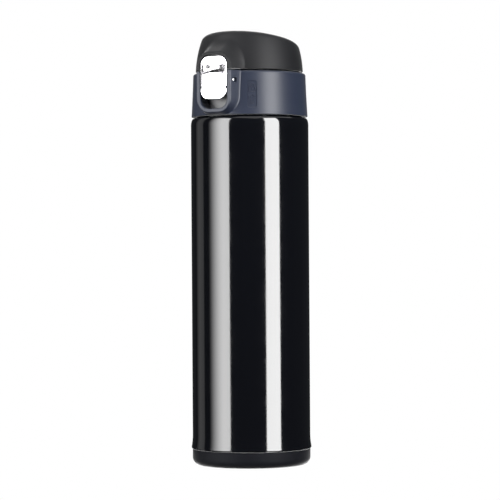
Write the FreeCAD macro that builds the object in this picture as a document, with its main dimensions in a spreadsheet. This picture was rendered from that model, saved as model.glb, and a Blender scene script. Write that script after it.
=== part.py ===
"""One-touch vacuum flask: a parametric FreeCAD document, in millimetres.

The flask stands on the XY plane with its axis on Z. The latch is at -Y and the hinge at +Y.
Every size is an expression on the "dims" spreadsheet, and each piece is one body.
"""
import FreeCAD
import Part
import math
import os
import re
import Sketcher
from FreeCAD import Placement, Rotation, Vector

DIMS = [
    # steel bottle
    ("body_rad", 33.0, "outside of the straight body"),
    ("shell_wall", 0.6, "outer shell sheet"),
    ("flare_rad", 33.6, "rolled bead above the base seam"),
    ("flare_low", 9.4, "underside of the bead"),
    ("flare_top", 16.5, "where the bead meets the straight wall"),
    ("skirt_rad", 31.2, "turned-in skirt that holds the base cover"),
    ("skirt_low", 4.4, "lower end of the skirt"),
    ("shoulder_low", 190.0, "start of the shoulder curve"),
    ("shoulder_rad", 31.5, "end of the shoulder curve"),
    ("shoulder_top", 194.0, "height of the ledge under the collar"),
    ("neck_foot_rad", 24.5, "inner edge of the ledge"),
    ("neck_rad", 20.6, "outside of the neck"),
    ("neck_wall", 0.5, "neck sheet"),
    ("neck_low", 196.5, "foot of the neck"),
    ("neck_top", 212.6, "top of the neck sheet"),
    ("liner_rad", 29.9, "outside of the inner bottle"),
    ("liner_wall", 0.5, "inner bottle sheet"),
    ("liner_weld", 14.0, "seam between the inner bottle and its bottom"),
    ("liner_shoulder", 183.0, "start of the inner shoulder"),
    ("liner_curve", 9.0, "inner shoulder radius"),
    ("liner_neck_rad", 19.5, "outside of the inner neck"),
    ("liner_neck_low", 192.6, "foot of the inner neck"),
    ("rim_top", 213.2, "drinking rim, where both bottles are welded"),
    ("bottom_low", 10.5, "underside of the inner bottom"),
    ("bottom_curve", 3.0, "corner radius of the inner bottom"),
    ("mid_low", 4.9, "underside of the outer bottom"),
    ("dimple_rad", 6.0, "evacuation dimple"),
    ("vent_rad", 0.8, "evacuation hole"),
    ("foil_gap", 0.1, "gap between liner and foil"),
    ("foil_wall", 0.15, "copper foil"),
    ("foil_low", 20.0, "lower edge of the foil"),
    ("foil_high", 180.0, "upper edge of the foil"),
    ("getter_rad", 5.0, "getter pellet"),
    ("getter_tall", 2.8, "getter height"),
    # thread
    ("pitch", 4.0, "neck thread pitch"),
    ("crest", 21.6, "neck thread crest"),
    ("thread_low", 199.0, "start of the neck thread"),
    ("thread_turns", 2.25, "turns of each thread"),
    ("cap_crest", 20.9, "stopper thread crest"),
    # base cover
    ("base_rad", 33.05, "outside of the base cover"),
    ("base_top", 9.0, "top edge of the base cover"),
    ("base_curve", 4.5, "bottom corner"),
    ("base_wall", 1.65, "base cover wall"),
    ("foot_rad", 26.0, "inner edge of the ring that it stands on"),
    ("foot_rise", 1.0, "hollow inside the ring"),
    # collar
    ("collar_low", 194.9, "lower edge of the collar"),
    ("collar_low_rad", 32.6, "radius at the lower edge"),
    ("collar_high_rad", 31.5, "radius below the top edge"),
    ("collar_top", 219.0, "top edge of the collar"),
    ("collar_round", 1.2, "top edge radius"),
    ("collar_in", 29.8, "inside of the collar"),
    ("deck_low", 216.2, "underside of the collar deck"),
    ("deck_top", 218.0, "top of the collar deck"),
    ("deck_in", 24.0, "inner edge of the collar deck"),
    # boss and finger pocket, shared by collar and lid
    ("boss_face", 35.5, "front of the boss"),
    ("boss_back", 27.0, "back of the boss"),
    ("pocket_deep", 29.0, "back of the finger pocket in the lid"),
    ("boss_half", 11.3, "half-width of the boss face"),
    ("boss_root", 13.8, "half-width at the back"),
    ("boss_low", 196.2, "lowest point of the boss face"),
    ("boss_high", 229.3, "highest point of the boss face"),
    ("boss_peak", 235.0, "highest point at the back"),
    ("boss_turn", 8.0, "corner radius of the boss face"),
    ("root_turn", 11.0, "corner radius at the back"),
    ("window_half", 8.9, "half-width of the finger pocket"),
    ("window_low", 198.2, "bottom of the finger pocket"),
    ("window_high", 227.7, "top of the finger pocket"),
    ("window_turn", 5.5, "corner radius of the finger pocket"),
    # icon panel on the collar
    ("panel_turn", 36.7, "direction of the icon panel from the front, degrees"),
    ("panel_lean", 1.7, "lean of the panel, degrees"),
    ("panel_mid", 206.0, "height of the panel centre"),
    ("panel_floor", 31.5, "distance of the panel floor from the axis"),
    ("panel_half", 2.6, "half-width of the panel"),
    ("panel_tall", 7.25, "half-height of the panel"),
    ("icon_rise", 0.25, "height of the icons"),
    ("icon_root", 0.1, "how far the icons reach under the panel floor"),
    ("icon_line", 0.4, "width of the icon lines"),
    # latch
    ("case_half", 10.4, "half-width of the latch housing"),
    ("case_front", 33.7, "front of the latch housing"),
    ("case_back", 26.5, "back of the latch housing"),
    ("case_low", 197.1, "underside of the latch housing"),
    ("case_turn", 6.6, "lower corners of the latch housing"),
    ("case_floor", 27.9, "back wall of the finger pocket"),
    ("pivot_deep", 32.5, "distance of the latch pivot from the axis"),
    ("pivot_high", 213.7, "height of the latch pivot"),
    ("pin_rad", 1.0, "latch pin"),
    ("pin_half", 11.9, "half-length of the latch pin"),
    ("pin_run", 1.05, "running bore on the latch pin"),
    ("button_half", 7.75, "half-width of the button beside the ring arms"),
    ("button_wide", 8.5, "half-width of the button below the arms"),
    ("button_step", 209.3, "top of the wide part"),
    ("button_low", 203.4, "lower edge of the button"),
    ("button_turn", 5.0, "lower corners of the button"),
    ("hook_top", 226.0, "top of the latch hook"),
    ("hook_turn", 2.0, "upper corners of the latch hook"),
    ("ring_in", 8.05, "inside of the lock ring arms"),
    ("ring_half", 8.7, "outside of the lock ring arms"),
    ("ring_face", 35.7, "front of the lock ring"),
    ("ring_back", 34.3, "back of the lock ring bar"),
    ("ring_low", 222.4, "lower edge of the bar"),
    ("ring_high", 226.9, "upper edge of the bar"),
    ("ring_turn", 5.3, "corner radius of the bar"),
    ("eye_rad", 1.9, "lock ring eye"),
    # stopper
    ("plug_rad", 18.6, "plug that enters the neck"),
    ("plug_in", 16.6, "inside of the plug"),
    ("plug_low", 200.0, "lower end of the plug"),
    ("groove_rad", 17.2, "bottom of the gasket groove"),
    ("groove_low", 201.4, "lower side of the groove"),
    ("groove_high", 205.2, "upper side of the groove"),
    ("skirt_in", 21.9, "inside of the threaded skirt"),
    ("skirt_out", 23.4, "outside of the threaded skirt"),
    ("cap_low", 197.5, "lower end of the threaded skirt"),
    ("cap_deck", 214.6, "underside of the stopper deck"),
    ("cap_rad", 27.0, "outer edge of the stopper deck"),
    ("insert_in", 20.0, "where the thread insert meets the plug"),
    ("hub_in", 13.5, "socket for the mouthpiece"),
    ("hub_out", 15.3, "outside of the socket"),
    ("hub_low", 206.0, "lower end of the socket"),
    ("seal_rad", 19.05, "lip of the stopper gasket"),
    # mouthpiece
    ("lip_top", 229.5, "drinking lip"),
    ("lip_in", 12.8, "inside of the lip"),
    ("lip_out", 14.6, "outside of the lip"),
    ("spout_foot", 16.0, "foot of the mouthpiece"),
    ("spigot_rad", 13.4, "mouthpiece spigot"),
    ("spigot_in", 11.8, "bore of the spigot"),
    ("spigot_low", 208.0, "lower end of the spigot"),
    # hinge
    ("hinge_deep", 33.1, "distance of the hinge from the axis"),
    ("hinge_high", 219.3, "height of the hinge"),
    ("barrel_rad", 2.4, "hinge knuckles"),
    ("barrel_end", 9.0, "outer face of the collar knuckles"),
    ("barrel_split", 5.9, "between collar and lid knuckles"),
    ("barrel_gap", 0.1, "half of the gap between knuckles"),
    ("coil_half", 3.2, "inner face of the lid knuckles"),
    ("hinge_pin_rad", 1.1, "hinge pin"),
    ("hinge_run", 1.15, "running bore on the hinge pin"),
    # lid
    ("lid_low", 220.0, "lower edge of the lid"),
    ("lid_low_rad", 30.1, "radius at the lower edge"),
    ("lid_side_top", 245.0, "where the side curve is carried to"),
    ("lid_side_rad", 23.6, "radius there"),
    ("lid_side_curve", 58.2, "curve of the lid side"),
    ("lid_wall", 1.8, "lid wall"),
    ("lid_round", 4.0, "edge between side and dome"),
    ("dome_rad", 89.0, "sphere of the dome"),
    ("dome_shift", -12.5, "the dome's centre lies toward the latch"),
    ("dome_mid", 153.3, "height of the dome's centre"),
    ("dome_reach", 46.0, "dome band before trimming"),
    ("liner_plate", 220.6, "underside of the lid liner"),
    ("liner_plate_top", 222.0, "top of the lid liner plate"),
    ("liner_edge", 28.0, "outer edge of the lid liner"),
    ("hat_in", 17.0, "inside of the lid liner hat"),
    ("hat_wall", 1.4, "lid liner wall"),
    ("hat_ceiling", 232.3, "ceiling of the lid liner hat"),
    ("cap_seal_rad", 15.6, "lid gasket"),
    # springs
    ("button_wire", 0.5, "button spring wire"),
    ("button_coil", 2.25, "button spring mean radius"),
    ("button_spring_high", 206.5, "height of the button spring"),
    ("lid_wire", 0.8, "lid spring wire"),
    ("lid_coil", 2.0, "lid spring mean radius"),
]

doc = FreeCAD.newDocument("vacuum_flask")
sheet = doc.addObject("Spreadsheet::Sheet", "dims")
for row, (alias, size, note) in enumerate(DIMS, start=1):
    sheet.set(f"A{row}", str(size))
    sheet.setAlias(f"A{row}", alias)
    sheet.set(f"B{row}", note)
doc.recompute()

NAMES = {alias for alias, size, note in DIMS}
pieces = []


def bound(text):
    """The expression with each alias read from the spreadsheet."""
    return re.sub(r"[a-z_]+", lambda word: f"dims.{word[0]}" if word[0] in NAMES else word[0], text)


def number(text):
    """The expression's value now, for a sketch's first shape."""
    return float(sheet.evalExpression(text))


def new_body(label):
    """One piece of the flask, under its own name."""
    body = doc.addObject("PartDesign::Body", label)
    body.Label = label
    body.Placement = Placement()
    pieces.append(body)
    return body


def new_sketch(body, name, role, offset=("0", "0", "0"), turn=None):
    """A sketch on one of the body's origin planes, moved by an offset in its own axes."""
    plane = [f for f in body.Origin.OriginFeatures if f.Role == role][0]
    sketch = body.newObject("Sketcher::SketchObject", f"{body.Label}_{name}")
    sketch.AttachmentSupport = [(plane, "")]
    sketch.MapMode = "FlatFace"
    start = Vector(*[number(text) for text in offset])
    sketch.AttachmentOffset = Placement(start, turn or Rotation())
    for axis, text in zip("xyz", offset):
        sketch.setExpression(f"AttachmentOffset.Base.{axis}", bound(text))
    return sketch


def bind(sketch, constraint, text):
    """Add a constraint whose size is an expression."""
    sketch.addConstraint(constraint)
    sketch.setExpression(f"Constraints[{sketch.ConstraintCount - 1}]", bound(text))


def fix_point(sketch, side, end, across, up):
    """Tie one end of a side to its place."""
    bind(sketch, Sketcher.Constraint("DistanceX", -1, 1, side, end, number(across)), across)
    bind(sketch, Sketcher.Constraint("DistanceY", -1, 1, side, end, number(up)), up)


def arc_side(start, end, radius):
    """The arc from start to end: anticlockwise where the radius is positive."""
    chord = end - start
    middle = (start + end) / 2
    rise = math.sqrt(max(radius**2 - (chord.Length / 2) ** 2, 0))
    left = Vector(-chord.y, chord.x, 0).normalize()
    centre = middle + left * math.copysign(rise, radius)
    ends = (start, end) if radius > 0 else (end, start)
    angles = [math.atan2(p.y - centre.y, p.x - centre.x) for p in ends]
    if angles[1] < angles[0]:
        angles[1] += 2 * math.pi
    return Part.ArcOfCircle(Part.Circle(centre, Vector(0, 0, 1), abs(radius)), *angles)


def add_outline(sketch, corners):
    """A closed outline. A corner is (across, up), and a third value bends the side after it."""
    spots = [Vector(number(c[0]), number(c[1]), 0) for c in corners]
    first = sketch.GeometryCount
    ends = []
    for n, corner in enumerate(corners):
        here, there = spots[n], spots[(n + 1) % len(spots)]
        if len(corner) == 2:
            sketch.addGeometry(Part.LineSegment(here, there))
            ends.append((1, 2))
        else:
            radius = number(corner[2])
            sketch.addGeometry(arc_side(here, there, radius))
            ends.append((1, 2) if radius > 0 else (2, 1))
    for n, corner in enumerate(corners):
        after = (n + 1) % len(corners)
        joint = Sketcher.Constraint("Coincident", first + n, ends[n][1], first + after, ends[after][0])
        sketch.addConstraint(joint)
        fix_point(sketch, first + n, ends[n][0], corner[0], corner[1])
        if len(corner) == 3:
            size = f"abs({corner[2]})"
            bind(sketch, Sketcher.Constraint("Radius", first + n, number(size)), size)


def add_circle(sketch, across, up, radius):
    """A full circle."""
    centre = Vector(number(across), number(up), 0)
    side = sketch.addGeometry(Part.Circle(centre, Vector(0, 0, 1), number(radius)))
    fix_point(sketch, side, 3, across, up)
    bind(sketch, Sketcher.Constraint("Radius", side, number(radius)), radius)


def lathe(body, name, corners, feature="PartDesign::Revolution", role="XZ_Plane", shift="0"):
    """A full turn of a (radius, height) outline about the upright axis."""
    sketch = new_sketch(body, f"{name}_outline", role, (shift, "0", "0"))
    add_outline(sketch, corners)
    turned = body.newObject(feature, f"{body.Label}_{name}")
    turned.Profile = sketch
    turned.ReferenceAxis = (sketch, ["V_Axis"])
    turned.Angle = 360
    doc.recompute()
    return turned


def front_prism(body, name, corners, near, far, feature="PartDesign::Pad"):
    """An outline seen from the front (X, Z), filled or cut from y = -near back to y = -far."""
    at = far if feature == "PartDesign::Pad" else near
    sketch = new_sketch(body, f"{name}_outline", "XZ_Plane", ("0", "0", at))
    add_outline(sketch, corners)
    return extrude(body, name, sketch, f"{near} - ({far})", feature)


def side_prism(body, name, corners, low, high, feature="PartDesign::Pad"):
    """An outline seen from the side (Y, Z), filled or cut from x = low to x = high."""
    at = low if feature == "PartDesign::Pad" else high
    sketch = new_sketch(body, f"{name}_outline", "YZ_Plane", ("0", "0", at))
    add_outline(sketch, corners)
    return extrude(body, name, sketch, f"{high} - ({low})", feature)


def side_round(body, name, across, up, radius, low, high, feature="PartDesign::Pad"):
    """A cylinder along X, filled or cut from x = low to x = high."""
    at = low if feature == "PartDesign::Pad" else high
    sketch = new_sketch(body, f"{name}_circle", "YZ_Plane", ("0", "0", at))
    add_circle(sketch, across, up, radius)
    return extrude(body, name, sketch, f"{high} - ({low})", feature)


def extrude(body, name, sketch, length, feature):
    """A pad or a pocket of a given length."""
    solid = body.newObject(feature, f"{body.Label}_{name}")
    solid.Profile = sketch
    solid.setExpression("Length", bound(length))
    doc.recompute()
    return solid


def box_corners(left, right, low, high):
    """A rectangle."""
    return [(left, low), (right, low), (right, high), (left, high)]


def coil(body, name, sketch, axis, pitch, turns):
    """A helical sweep of a sketch about one of its own axes."""
    helix = body.newObject("PartDesign::AdditiveHelix", f"{body.Label}_{name}")
    helix.Profile = sketch
    helix.ReferenceAxis = (sketch, [axis])
    helix.Mode = "pitch-turns-angle"
    helix.setExpression("Pitch", bound(pitch))
    helix.setExpression("Turns", bound(turns))
    doc.recompute()
    return helix


def round_edges(body, name, radius, chosen, feature="PartDesign::Fillet"):
    """Round every edge of the body that the test chooses."""
    base = body.Tip
    edges = [f"Edge{n}" for n, edge in enumerate(base.Shape.Edges, start=1) if chosen(edge)]
    rounded = body.newObject(feature, f"{body.Label}_{name}")
    rounded.Base = (base, edges)
    size = "Radius" if feature == "PartDesign::Fillet" else "Size"
    rounded.setExpression(size, bound(radius))
    doc.recompute()
    return rounded


def on_plane(edge, axis, place):
    """Whether an edge lies at one value of x, y or z."""
    box = edge.BoundBox
    low = getattr(box, f"{axis}Min")
    high = getattr(box, f"{axis}Max")
    return abs(low - place) < 0.01 and abs(high - place) < 0.01


def u_outline(half, low, top, turn):
    """A U seen from the front: open corners at the top, rounded ones below."""
    return [
        (f"-{half}", top),
        (f"-{half}", f"{low} + {turn}", turn),
        (f"{turn} - {half}", low),
        (f"{half} - {turn}", low, turn),
        (half, f"{low} + {turn}"),
        (half, top),
    ]


def arch_outline(half, low, top, turn):
    """An arch seen from the front: rounded corners at the top."""
    return [
        (half, low),
        (half, f"{top} - {turn}", turn),
        (f"{half} - {turn}", top),
        (f"{turn} - {half}", top, turn),
        (f"-{half}", f"{top} - {turn}"),
        (f"-{half}", low),
    ]


def boss(body, face_outline, root_outline):
    """The raised boss: a loft from its flat face back to its wider root."""
    face = new_sketch(body, "boss_face", "XZ_Plane", ("0", "0", "boss_face"))
    add_outline(face, face_outline)
    root = new_sketch(body, "boss_root", "XZ_Plane", ("0", "0", "boss_back"))
    add_outline(root, root_outline)
    loft = body.newObject("PartDesign::AdditiveLoft", f"{body.Label}_boss")
    loft.Profile = face
    loft.Sections = [root]
    doc.recompute()
    return loft


# ---------------------------------------------------------------- steel bottle
def thread(body, root, tip, low):
    """A trapezoidal helical rib from its root radius to its tip radius."""
    sketch = new_sketch(body, "thread_profile", "XZ_Plane")
    inner = f"{root} + ({root} - {tip}) * 0.2"
    corners = [
        (inner, low),
        (tip, f"{low} + pitch / 8"),
        (tip, f"{low} + pitch * 3 / 8"),
        (inner, f"{low} + pitch / 2"),
    ]
    if number(root) > number(tip):
        corners.reverse()
    add_outline(sketch, corners)
    coil(body, "thread", sketch, "V_Axis", "pitch", "thread_turns")


def make_outer_shell():
    body = new_body("outer_shell")
    wall = "shell_wall"
    corners = [
        ("skirt_rad", "skirt_low"),
        ("skirt_rad", "flare_low"),
        ("flare_rad", "flare_low"),
        ("flare_rad", "flare_low + 1.1"),
        ("body_rad", "flare_top"),
        ("body_rad", "shoulder_low", "shoulder_low - shoulder_top + 9"),
        ("shoulder_rad", "shoulder_top"),
        ("neck_foot_rad", "shoulder_top + 0.6"),
        ("neck_rad", "neck_low"),
        ("neck_rad", "neck_top"),
        ("neck_rad - neck_wall", "neck_top"),
        ("neck_rad - neck_wall", "neck_low - 0.4"),
        ("neck_foot_rad - 0.2", f"shoulder_top + 0.6 - {wall}"),
        (f"shoulder_rad - {wall} / 2", f"shoulder_top - {wall}"),
        (f"body_rad - {wall}", "shoulder_low"),
        (f"body_rad - {wall}", "flare_top"),
        (f"flare_rad - {wall}", "flare_low + 1.1"),
        (f"flare_rad - {wall}", f"flare_low + {wall}"),
        (f"skirt_rad - {wall}", f"flare_low + {wall}"),
        (f"skirt_rad - {wall}", "skirt_low"),
    ]
    lathe(body, "wall", corners)
    thread(body, "neck_rad", "crest", "thread_low")


def make_inner_liner():
    body = new_body("inner_liner")
    wall = "liner_wall"
    turn_rad = "liner_rad - liner_curve"
    corners = [
        ("liner_rad", "liner_weld"),
        ("liner_rad", "liner_shoulder", "liner_curve"),
        (turn_rad, "liner_shoulder + liner_curve"),
        ("liner_neck_rad", "liner_neck_low"),
        ("liner_neck_rad", "neck_top"),
        ("neck_rad", "neck_top"),
        ("neck_rad", "rim_top"),
        ("liner_neck_rad - 0.4", "rim_top"),
        ("liner_neck_rad - 0.4", f"liner_neck_low - {wall}"),
        (turn_rad, f"liner_shoulder + liner_curve - {wall}", f"{wall} - liner_curve"),
        (f"liner_rad - {wall}", "liner_shoulder"),
        (f"liner_rad - {wall}", "liner_weld"),
    ]
    lathe(body, "wall", corners)


def make_liner_bottom():
    body = new_body("liner_bottom")
    wall = "liner_wall"
    corners = [
        ("0", "bottom_low"),
        ("liner_rad - bottom_curve", "bottom_low", "bottom_curve"),
        ("liner_rad", "bottom_low + bottom_curve"),
        ("liner_rad", "liner_weld"),
        (f"liner_rad - {wall}", "liner_weld"),
        (f"liner_rad - {wall}", "bottom_low + bottom_curve", f"{wall} - bottom_curve"),
        ("liner_rad - bottom_curve", f"bottom_low + {wall}"),
        ("0", f"bottom_low + {wall}"),
    ]
    lathe(body, "dish", corners)


def make_outer_bottom():
    body = new_body("outer_bottom")
    wall = "shell_wall"
    edge = f"skirt_rad - {wall}"
    corners = [
        ("vent_rad", f"mid_low + {wall}"),
        ("dimple_rad", f"mid_low + {wall}"),
        (f"dimple_rad + {wall}", "mid_low"),
        (edge, "mid_low"),
        (edge, f"mid_low + {wall}"),
        (f"dimple_rad + 2 * {wall}", f"mid_low + {wall}"),
        (f"dimple_rad + {wall}", f"mid_low + 2 * {wall}"),
        ("vent_rad", f"mid_low + 2 * {wall}"),
    ]
    lathe(body, "disc", corners)


def make_seal_bead():
    body = new_body("seal_bead")
    top = "mid_low + shell_wall"
    corners = [
        ("0", "mid_low"),
        ("dimple_rad / 3", "mid_low", "dimple_rad / 3"),
        ("dimple_rad / 2", top),
        ("vent_rad", top),
        ("vent_rad", f"{top} + shell_wall"),
        ("0", f"{top} + shell_wall"),
    ]
    lathe(body, "bead", corners)


def make_copper_foil():
    body = new_body("copper_foil")
    inner = "liner_rad + foil_gap"
    lathe(body, "wrap", box_corners(inner, f"{inner} + foil_wall", "foil_low", "foil_high"))


def make_getter():
    body = new_body("getter")
    sketch = new_sketch(body, "pellet_circle", "XY_Plane", ("0", "0", "bottom_low - getter_tall"))
    add_circle(sketch, "getter_rad * 2", "0", "getter_rad")
    extrude(body, "pellet", sketch, "getter_tall", "PartDesign::Pad")


def make_base_cover():
    body = new_body("base_cover")
    turn_rad = "base_rad - base_curve"
    floor = "base_wall"
    corners = [
        ("0", "foot_rise"),
        ("foot_rad - foot_rise", "foot_rise"),
        ("foot_rad", "0"),
        (turn_rad, "0", "base_curve"),
        ("base_rad", "base_curve"),
        ("base_rad", "base_top"),
        (f"base_rad - {floor}", "base_top"),
        (f"base_rad - {floor}", "base_curve", f"{floor} - base_curve"),
        (turn_rad, floor),
        ("foot_rad + foot_rise / 2", floor),
        ("foot_rad - foot_rise / 2", f"{floor} + foot_rise"),
        ("0", f"{floor} + foot_rise"),
    ]
    lathe(body, "cup", corners)


# ---------------------------------------------------------------- collar and latch
def add_icon(body, name, sketch):
    """Raise a line icon from just under the panel floor."""
    extrude(body, name, sketch, "icon_rise + icon_root", "PartDesign::Pad")


def panel_sketch(body, name, distance):
    """A sketch in the leaning plane of the icon panel, with its origin at the panel's centre."""
    turn = Rotation(Vector(0, 1, 0), number("panel_turn")) * Rotation(Vector(1, 0, 0), -number("panel_lean"))
    across = f"({distance}) * sin(panel_turn * 1 deg)"
    deep = f"({distance}) * cos(panel_turn * 1 deg)"
    return new_sketch(body, name, "XZ_Plane", (across, "panel_mid", deep), turn)


def add_icons(body):
    """A recessed panel with two raised line icons: a padlock and an arrow that points up."""
    recess = panel_sketch(body, "panel_outline", "panel_floor + 2")
    turn = "icon_line * 2.5"
    left, right = "-panel_half", "panel_half"
    low, high = "-panel_tall", "panel_tall"
    corners = [
        (left, f"{low} + {turn}", turn),
        (f"{left} + {turn}", low),
        (f"{right} - {turn}", low, turn),
        (right, f"{low} + {turn}"),
        (right, f"{high} - {turn}", turn),
        (f"{right} - {turn}", high),
        (f"{left} + {turn}", high, turn),
        (left, f"{high} - {turn}"),
    ]
    add_outline(recess, corners)
    extrude(body, "panel", recess, "2", "PartDesign::Pocket")
    line = "icon_line"
    case = panel_sketch(body, "padlock_outline", "panel_floor - icon_root")
    add_outline(case, box_corners("-1.8", "1.8", "1.6", "4.5"))
    add_outline(case, box_corners(f"{line} - 1.8", f"1.8 - {line}", f"1.6 + {line}", f"4.5 - {line}"))
    add_icon(body, "padlock", case)
    shackle = panel_sketch(body, "shackle_outline", "panel_floor - icon_root")
    arch = [
        ("1.2", "4.4"),
        ("1.2", "5.3", "1.2"),
        ("0", "6.5", "1.2"),
        ("-1.2", "5.3"),
        ("-1.2", "4.4"),
        (f"{line} - 1.2", "4.4"),
        (f"{line} - 1.2", "5.3", f"{line} - 1.2"),
        ("0", f"6.5 - {line}", f"{line} - 1.2"),
        (f"1.2 - {line}", "5.3"),
        (f"1.2 - {line}", "4.4"),
    ]
    add_outline(shackle, arch)
    add_icon(body, "shackle", shackle)
    arrow = panel_sketch(body, "arrow_outline", "panel_floor - icon_root")
    for inset, tip in (("0", "0.2"), (line, "-0.45")):
        head, stem = f"1.8 - {inset} * 2.2", f"0.9 - {inset}"
        barb, foot = f"{inset} - 1.8", f"{inset} - 5.2"
        corners = [
            ("0", tip),
            (f"-({head})", barb),
            (f"-({stem})", barb),
            (f"-({stem})", foot),
            (stem, foot),
            (stem, barb),
            (head, barb),
        ]
        add_outline(arrow, corners)
    add_icon(body, "arrow", arrow)


def make_collar_shell():
    body = new_body("collar_shell")
    corners = [
        ("collar_in", "collar_low"),
        ("collar_low_rad", "collar_low"),
        ("collar_high_rad", "collar_top - collar_round", "collar_round"),
        ("collar_high_rad - collar_round", "collar_top"),
        ("collar_in", "collar_top"),
        ("collar_in", "deck_top"),
        ("deck_in", "deck_top"),
        ("deck_in", "deck_low"),
        ("collar_in", "deck_low"),
    ]
    lathe(body, "wall", corners)
    boss(
        body,
        u_outline("boss_half", "boss_low", "collar_top", "boss_turn"),
        u_outline("boss_root", "collar_low", "collar_top", "root_turn"),
    )
    slot = u_outline("(case_half + 0.1)", "case_low - 0.1", "collar_top + 1", "(case_turn + 0.1)")
    front_prism(body, "case_slot", slot, "case_front + 0.1", "case_back - 1", "PartDesign::Pocket")
    window = u_outline("window_half", "window_low", "collar_top + 1", "window_turn")
    front_prism(body, "window", window, "boss_face + 1", "boss_back", "PartDesign::Pocket")
    notch = box_corners("hinge_deep - barrel_rad - 0.4", "hinge_deep + 4", "deck_low", "collar_top + 1")
    side_prism(
        body, "hinge_notch", notch, "-barrel_split - barrel_gap", "barrel_split + barrel_gap",
        "PartDesign::Pocket",
    )
    web = box_corners("hinge_deep - 3", "hinge_deep", "hinge_high - barrel_rad", "hinge_high")
    for name, low, high in (
        ("left", "-barrel_end", "-barrel_split - barrel_gap"),
        ("right", "barrel_split + barrel_gap", "barrel_end"),
    ):
        side_prism(body, f"web_{name}", web, low, high)
        side_round(body, f"knuckle_{name}", "hinge_deep", "hinge_high", "barrel_rad", low, high)
    side_round(
        body, "hinge_bore", "hinge_deep", "hinge_high", "hinge_pin_rad + 0.02",
        "-barrel_end - 1", "barrel_end + 1", "PartDesign::Pocket",
    )
    side_round(
        body, "pin_bore", "-pivot_deep", "pivot_high", "pin_rad + 0.02",
        "-boss_root - 1", "boss_root + 1", "PartDesign::Pocket",
    )
    for name, low, high in (
        ("left", "-boss_root - 1", "-pin_half + 0.4"),
        ("right", "pin_half - 0.4", "boss_root + 1"),
    ):
        side_round(
            body, f"pin_seat_{name}", "-pivot_deep", "pivot_high", "pin_rad * 1.7",
            low, high, "PartDesign::Pocket",
        )
    add_icons(body)


def make_latch_housing():
    body = new_body("latch_housing")
    block = u_outline("case_half", "case_low", "deck_top", "case_turn")
    front_prism(body, "block", block, "case_front", "case_back")
    cavity = u_outline("window_half", "window_low", "deck_top + 1", "window_turn")
    front_prism(body, "cavity", cavity, "case_front + 1", "case_floor", "PartDesign::Pocket")
    side_round(
        body, "pin_bore", "-pivot_deep", "pivot_high", "pin_rad + 0.02",
        "-case_half - 1", "case_half + 1", "PartDesign::Pocket",
    )


def make_latch_pin():
    body = new_body("latch_pin")
    side_round(body, "rod", "-pivot_deep", "pivot_high", "pin_rad", "-pin_half", "pin_half")


def make_release_button():
    body = new_body("release_button")
    face, back = "-boss_face", "1.5 - boss_face"
    neck, claw = "-pivot_deep - 0.4", "-pivot_deep + 0.6"
    tip = "-pivot_deep + 1.2"
    corners = [
        (back, "button_low"),
        (back, "pivot_high - 2.6"),
        ("-pivot_deep + 2.1", "pivot_high - 1"),
        ("-pivot_deep + 2.1", "pivot_high + 1.5"),
        (claw, "collar_top"),
        (claw, "hook_top - 2.3"),
        (tip, "hook_top - 1.8"),
        (tip, "hook_top"),
        (neck, "hook_top"),
        (neck, "collar_top + 1.5", "-6"),
        (face, "collar_top - 2.8"),
        (face, "button_low"),
    ]
    side_prism(body, "lever", corners, "-button_half", "button_half")
    plate = box_corners("-button_wide", "button_wide", "button_low", "button_step")
    front_prism(body, "thumb_plate", plate, "boss_face", "boss_face - 1.5")
    side_round(
        body, "pin_bore", "-pivot_deep", "pivot_high", "pin_run",
        "-button_half - 1", "button_half + 1", "PartDesign::Pocket",
    )
    for name, place, radius in (
        ("lower_corners", "button_low", "button_turn"),
        ("upper_corners", "hook_top", "hook_turn"),
    ):
        level = number(place)
        round_edges(
            body, name, radius,
            lambda edge, level=level: on_plane(edge, "Z", level) and edge.BoundBox.XLength < 0.01,
        )


def make_lock_ring():
    body = new_body("lock_ring")
    bar = arch_outline("ring_half", "ring_low", "ring_high", "ring_turn - 0.3")
    front_prism(body, "bar", bar, "ring_face", "ring_back")
    arm = [
        ("-ring_face", "ring_low + 0.4"),
        ("-ring_face", "pivot_high - 2.9"),
        ("-ring_face + 1.2", "pivot_high - 3.8"),
        ("-pivot_deep - 1", "pivot_high - 3.8"),
        ("-pivot_deep", "pivot_high - 1.5"),
        ("-pivot_deep + 1.5", "pivot_high"),
        ("-pivot_deep + 1.2", "pivot_high + 2.3"),
        ("-ring_back + 0.8", "ring_low - 3"),
        ("-ring_back", "ring_low + 0.4"),
    ]
    for name, low, high in (("left", "-ring_half", "-ring_in"), ("right", "ring_in", "ring_half")):
        side_prism(body, f"arm_{name}", arm, low, high)
        side_round(body, f"eye_{name}", "-pivot_deep", "pivot_high", "eye_rad", low, high)
    side_round(
        body, "pin_bore", "-pivot_deep", "pivot_high", "pin_run",
        "-ring_half - 1", "ring_half + 1", "PartDesign::Pocket",
    )


def make_button_spring():
    body = new_body("button_spring")
    sketch = new_sketch(body, "wire", "YZ_Plane", ("-case_floor - 0.3", "button_spring_high", "0"))
    add_circle(sketch, "0", "button_coil", "button_wire / 2")
    helix = coil(body, "coil", sketch, "H_Axis", "1.1", "5")
    helix.Reversed = True
    doc.recompute()


# ---------------------------------------------------------------- stopper
def make_stopper_body():
    body = new_body("stopper_body")
    corners = [
        ("insert_in", "deck_low"),
        ("hub_in", "deck_low"),
        ("hub_in", "hub_low"),
        ("hub_out", "hub_low"),
        ("hub_out", "cap_deck"),
        ("plug_in", "cap_deck"),
        ("plug_in", "plug_low"),
        ("plug_rad", "plug_low"),
        ("plug_rad", "groove_low"),
        ("groove_rad", "groove_low"),
        ("groove_rad", "groove_high"),
        ("plug_rad", "groove_high"),
        ("plug_rad", "cap_deck"),
        ("insert_in", "cap_deck"),
    ]
    lathe(body, "body", corners)


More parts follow.
